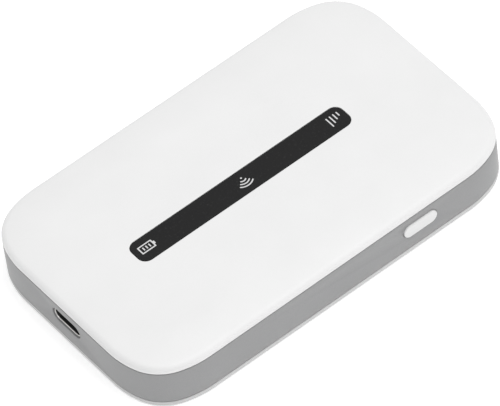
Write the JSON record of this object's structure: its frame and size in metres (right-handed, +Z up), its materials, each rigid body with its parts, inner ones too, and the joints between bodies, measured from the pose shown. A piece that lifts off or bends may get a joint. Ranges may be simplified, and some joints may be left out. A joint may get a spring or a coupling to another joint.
{
  "type": "mobile hotspot",
  "caption": "Pocket mobile hotspot: thin rounded slab with a status window, side power button, USB-C socket in one end, removable back cover and battery.",
  "frame": {"origin": "middle of the underside, where the hotspot rests", "axes": "+X along the length, away from the charging socket; +Z up out of the status window's face; the power button is on the -Y side"},
  "size_m": [0.1, 0.0608, 0.0132],
  "materials": {
    "white_plastic": "fine satin, lightly textured",
    "back_plastic": "fine satin, lightly textured",
    "silver_frame": "satin silver paint",
    "window_black": "gloss",
    "icon_white": "satin",
    "black_tape": "matt",
    "guide_clear": "clear",
    "shield_black": "matt",
    "led_yellow": "gloss",
    "board_green": "solder resist",
    "can_tin": "tin plate",
    "chip_black": "moulded epoxy",
    "crystal_steel": "plated",
    "inductor_grey": "ferrite",
    "passive_tan": "fired",
    "graphite": "satin",
    "pad_grey": "soft",
    "socket_steel": "plated",
    "socket_black": "moulded",
    "contact_gold": "gold plate",
    "button_white": "satin",
    "switch_black": "moulded",
    "plunger_white": "moulded",
    "sim_steel": "rolled sheet",
    "sim_white": "card",
    "battery_wrap": "foil wrap",
    "battery_black": "moulded",
    "label_white": "paper film",
    "chassis_grey": "moulded",
    "screw_steel": "black nickel",
    "carrier_black": "moulded",
    "antenna_copper": "bare"
  },
  "bodies": {
    "case": {"front_cover": "white_plastic", "side_frame": "silver_frame", "status_window": "window_black", "status_icons": "icon_white", "window_tape": "black_tape", "light_guide_battery": "guide_clear", "light_guide_wifi": "guide_clear", "light_guide_signal": "guide_clear", "light_shield": "shield_black", "status_leds": "led_yellow", "main_board": "board_green", "main_shield_lid": "can_tin", "main_shield_frame": "can_tin", "radio_shield_lid": "can_tin", "radio_shield_frame": "can_tin", "modem_chip": "chip_black", "memory_chip": "chip_black", "radio_chip": "chip_black", "power_amplifiers": "chip_black", "wifi_chip": "chip_black", "power_chip": "chip_black", "board_crystals": "crystal_steel", "power_inductors": "inductor_grey", "board_passives": "passive_tan", "heat_spreader": "graphite", "thermal_pad": "pad_grey", "usb_shell": "socket_steel", "usb_tongue": "socket_black", "usb_contacts": "contact_gold", "power_switch_body": "switch_black", "reset_switch_body": "switch_black", "sim_socket_shell": "sim_steel", "sim_socket_base": "socket_black", "sim_contacts": "contact_gold", "battery_connector": "battery_black", "battery_springs": "contact_gold", "rear_chassis": "chassis_grey", "chassis_screws": "screw_steel", "antenna_carrier": "carrier_black", "main_antenna": "antenna_copper", "diversity_antenna": "antenna_copper", "wifi_antenna": "antenna_copper", "antenna_clips": "contact_gold"},
    "back_cover": {"back_cover": "back_plastic"},
    "battery": {"battery_cell": "battery_wrap", "battery_end_cap": "battery_black", "battery_contacts": "contact_gold", "battery_label": "label_white"},
    "power_button": {"power_button": "button_white"},
    "power_plunger": {"power_switch_plunger": "plunger_white"},
    "reset_plunger": {"reset_plunger": "plunger_white"},
    "sim_card": {"sim_card": "sim_white"}
  },
  "joints": [
    {"name": "power_button_press", "type": "slide", "parent": "case", "child": "power_button", "axis": [0, 1, 0], "range_m": [0, 0.00025], "stiffness_N_per_m": 6000},
    {"name": "power_plunger_press", "type": "slide", "parent": "case", "child": "power_plunger", "axis": [0, 1, 0], "range_m": [0, 0.00025]},
    {"name": "reset_press", "type": "slide", "parent": "case", "child": "reset_plunger", "axis": [0, 0, 1], "range_m": [0, 0.00025], "stiffness_N_per_m": 6000},
    {"name": "back_cover_off", "type": "slide", "parent": "case", "child": "back_cover", "axis": [0, 0, -1], "range_m": [0, 0.036]},
    {"name": "battery_out", "type": "slide", "parent": "case", "child": "battery", "axis": [0, 0, -1], "range_m": [0, 0.018]},
    {"name": "sim_card_slide", "type": "slide", "parent": "case", "child": "sim_card", "axis": [1, 0, 0], "range_m": [0, 0.013]}
  ],
  "couplings": [
    {"joint": "power_plunger_press", "follows": "power_button_press", "ratio": 1},
    {"joint": "battery_out", "follows": "back_cover_off", "ratio": 0.5}
  ]
}
